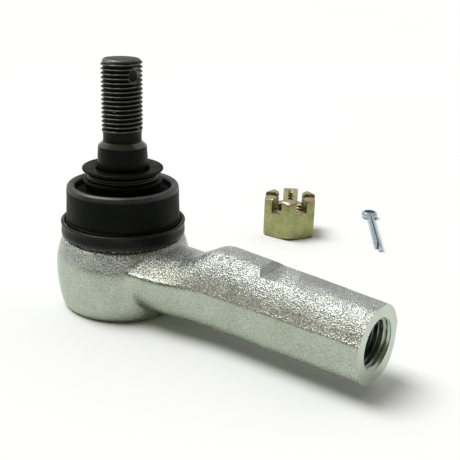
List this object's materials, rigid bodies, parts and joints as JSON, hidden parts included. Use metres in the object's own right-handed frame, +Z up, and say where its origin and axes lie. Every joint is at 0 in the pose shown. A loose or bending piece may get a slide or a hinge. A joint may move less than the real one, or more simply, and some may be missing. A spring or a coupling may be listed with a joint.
{
  "type": "tie rod end",
  "caption": "Steering tie rod end: forged housing with an internally threaded shank, a tapered ball stud under a rubber boot, and its loose slotted nut and cotter pin.",
  "frame": {"origin": "middle of the closing plate's flat underside, on the stud's axis", "axes": "+Z up along the ball stud, +X along the threaded shank towards its open end"},
  "size_m": [0.1067, 0.1465, 0.0737],
  "materials": {
    "zinc_plated_forging": "shot-blasted forging, clear zinc plated",
    "plated_plate": "pressed plate, clear zinc plated",
    "spring_steel": "oiled spring steel",
    "white_acetal": "moulded, greased",
    "black_phosphate": "black phosphated steel, satin",
    "boot_rubber": "moulded rubber, soft sheen",
    "black_ring": "black coated spring steel",
    "yellow_zinc": "yellow passivated zinc, iridescent",
    "bright_zinc": "bright zinc plated wire"
  },
  "bodies": {
    "tie_rod_housing": {"housing": "zinc_plated_forging", "end_cap": "plated_plate", "preload_spring": "spring_steel", "boot_base_ring": "black_ring"},
    "swing_carrier": {"lower_ball_seat": "white_acetal", "upper_ball_seat": "white_acetal", "dust_boot": "boot_rubber"},
    "boot_neck": {"boot_neck_ring": "black_ring"},
    "stud": {"ball_stud": "black_phosphate"},
    "nut": {"castle_nut": "yellow_zinc"},
    "pin": {"cotter_pin": "bright_zinc"}
  },
  "joints": [
    {"name": "stud_swing_direction", "type": "hinge", "parent": "tie_rod_housing", "child": "swing_carrier", "pos_m": [0, 0, 0.0145], "axis": [0, 0, 1], "continuous": true},
    {"name": "stud_tilt", "type": "hinge", "parent": "swing_carrier", "child": "boot_neck", "pos_m": [0, 0, 0.0145], "axis": [0, 1, 0], "range_deg": [-20, 20], "deforming": ["dust_boot"]},
    {"name": "stud_spin", "type": "hinge", "parent": "boot_neck", "child": "stud", "pos_m": [0, 0, 0.0145], "axis": [0, 0, 1], "continuous": true},
    {"name": "nut_lift", "type": "slide", "parent": "tie_rod_housing", "child": "nut", "axis": [0, 0, 1], "range_m": [0, 0.06]},
    {"name": "pin_lift", "type": "slide", "parent": "tie_rod_housing", "child": "pin", "axis": [0, 0, 1], "range_m": [0, 0.06]}
  ]
}
